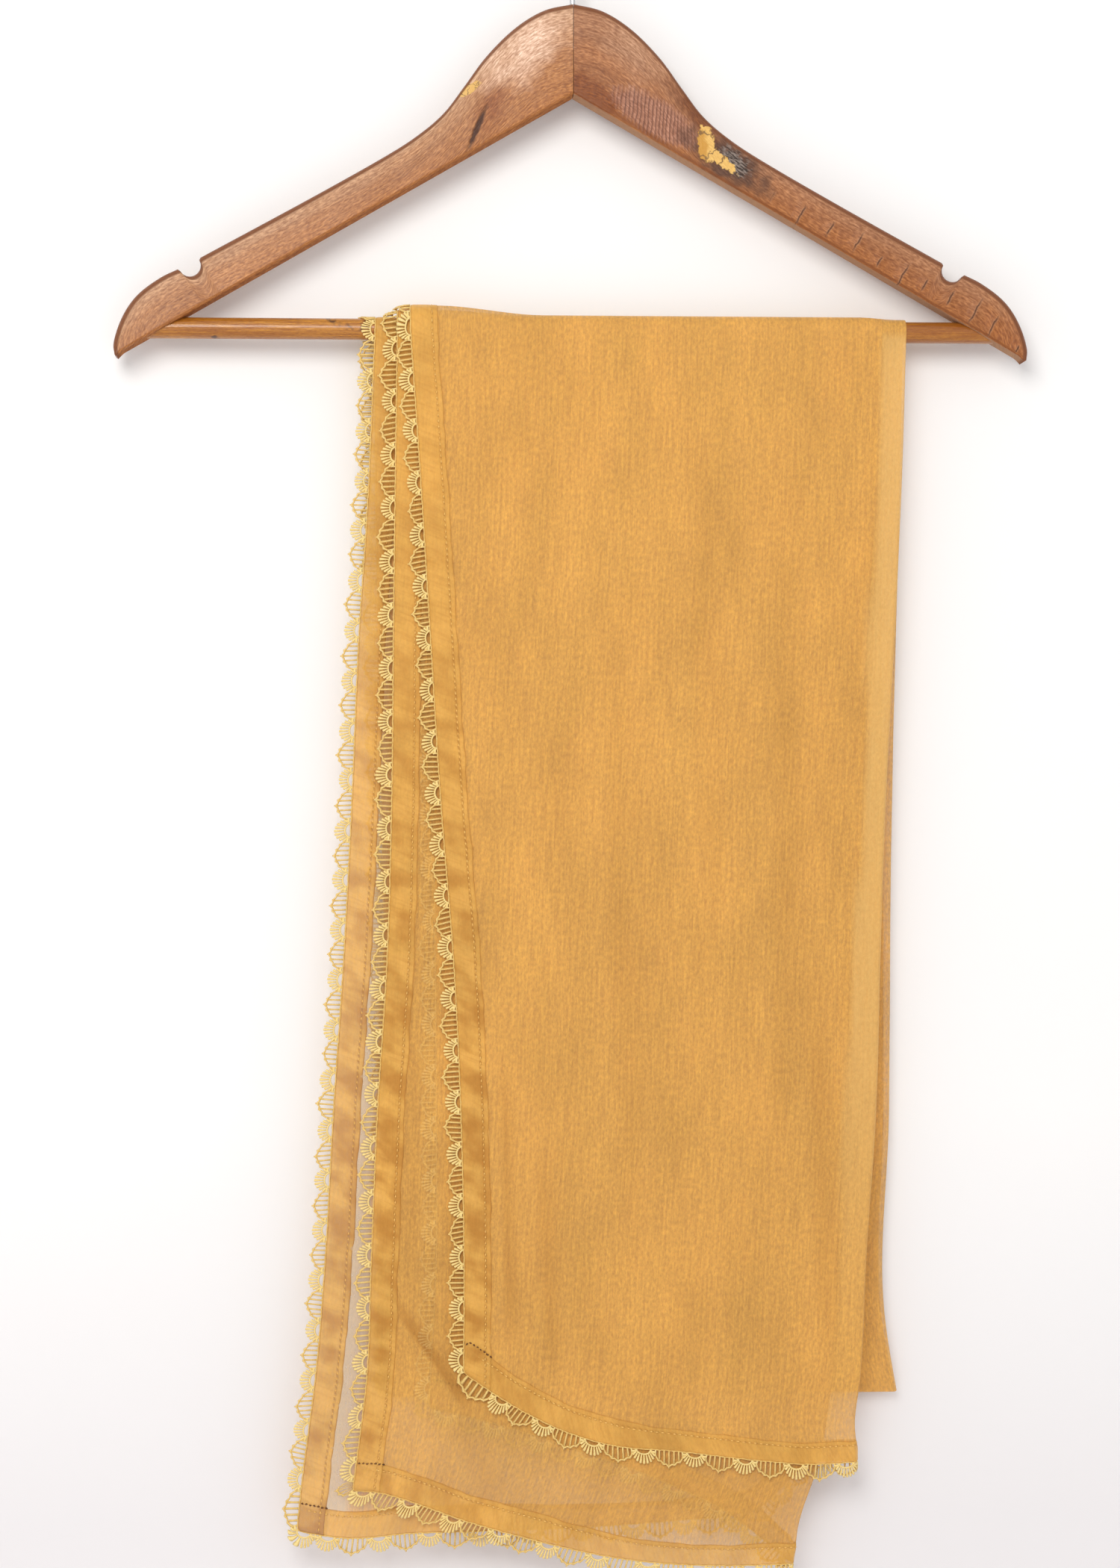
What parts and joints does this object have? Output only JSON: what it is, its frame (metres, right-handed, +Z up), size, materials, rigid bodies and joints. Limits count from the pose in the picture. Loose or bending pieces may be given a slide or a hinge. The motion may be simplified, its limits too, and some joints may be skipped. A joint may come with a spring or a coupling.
{
  "type": "dupatta stole folded over a wooden clothes hanger",
  "caption": "Sheer golden stole with scalloped lace edging, folded in four over the bar of a wooden trouser hanger with a wire hook.",
  "frame": {"origin": "seat at the inside top of the hook's bend, in the hanger's middle plane", "axes": "+X to the wearer's view right along the bar, +Y to the back of the hanger, +Z up along the fall of the cloth"},
  "size_m": [0.4424, 0.0247, 0.829],
  "materials": {
    "chiffon": "sheer golden crepe chiffon, soft sheen",
    "hem_cloth": "turned chiffon hem, three layers thick",
    "lace_thread": "pale gold scalloped lace",
    "varnished_wood": "worn varnish",
    "bar_wood": "varnished dowel",
    "hook_wire": "polished"
  },
  "bodies": {
    "root": {"hanger_arm_left": "varnished_wood", "hanger_arm_right": "varnished_wood", "trouser_bar": "bar_wood", "hanger_hook": "hook_wire", "end_a_front": "chiffon", "end_a_over_bar": "chiffon", "end_a_back": "chiffon", "end_b_front": "chiffon", "end_b_over_bar": "chiffon", "end_b_back": "chiffon", "mid_fold_outer": "chiffon", "mid_fold_inner": "chiffon", "hem_a_short": "hem_cloth", "hem_b_short": "hem_cloth", "hem_a_outer_front": "hem_cloth", "hem_a_outer_over_bar": "hem_cloth", "hem_a_outer_back": "hem_cloth", "hem_b_outer_front": "hem_cloth", "hem_b_outer_over_bar": "hem_cloth", "hem_b_outer_back": "hem_cloth", "hem_b_inner_front": "hem_cloth", "hem_b_inner_over_bar": "hem_cloth", "hem_b_inner_back": "hem_cloth", "hem_a_inner_front": "hem_cloth", "hem_a_inner_over_bar": "hem_cloth", "hem_a_inner_back": "hem_cloth", "hem_fold_outer": "hem_cloth", "hem_fold_inner": "hem_cloth", "lace_a_short": "lace_thread", "lace_b_short": "lace_thread", "lace_a_outer_front": "lace_thread", "lace_a_outer_over_bar": "lace_thread", "lace_a_outer_back": "lace_thread", "lace_b_outer_front": "lace_thread", "lace_b_outer_over_bar": "lace_thread", "lace_b_outer_back": "lace_thread", "lace_b_inner_front": "lace_thread", "lace_b_inner_over_bar": "lace_thread", "lace_b_inner_back": "lace_thread", "lace_a_inner_front": "lace_thread", "lace_a_inner_over_bar": "lace_thread", "lace_a_inner_back": "lace_thread", "lace_fold_outer": "lace_thread", "lace_fold_inner": "lace_thread"}
  },
  "joints": []
}
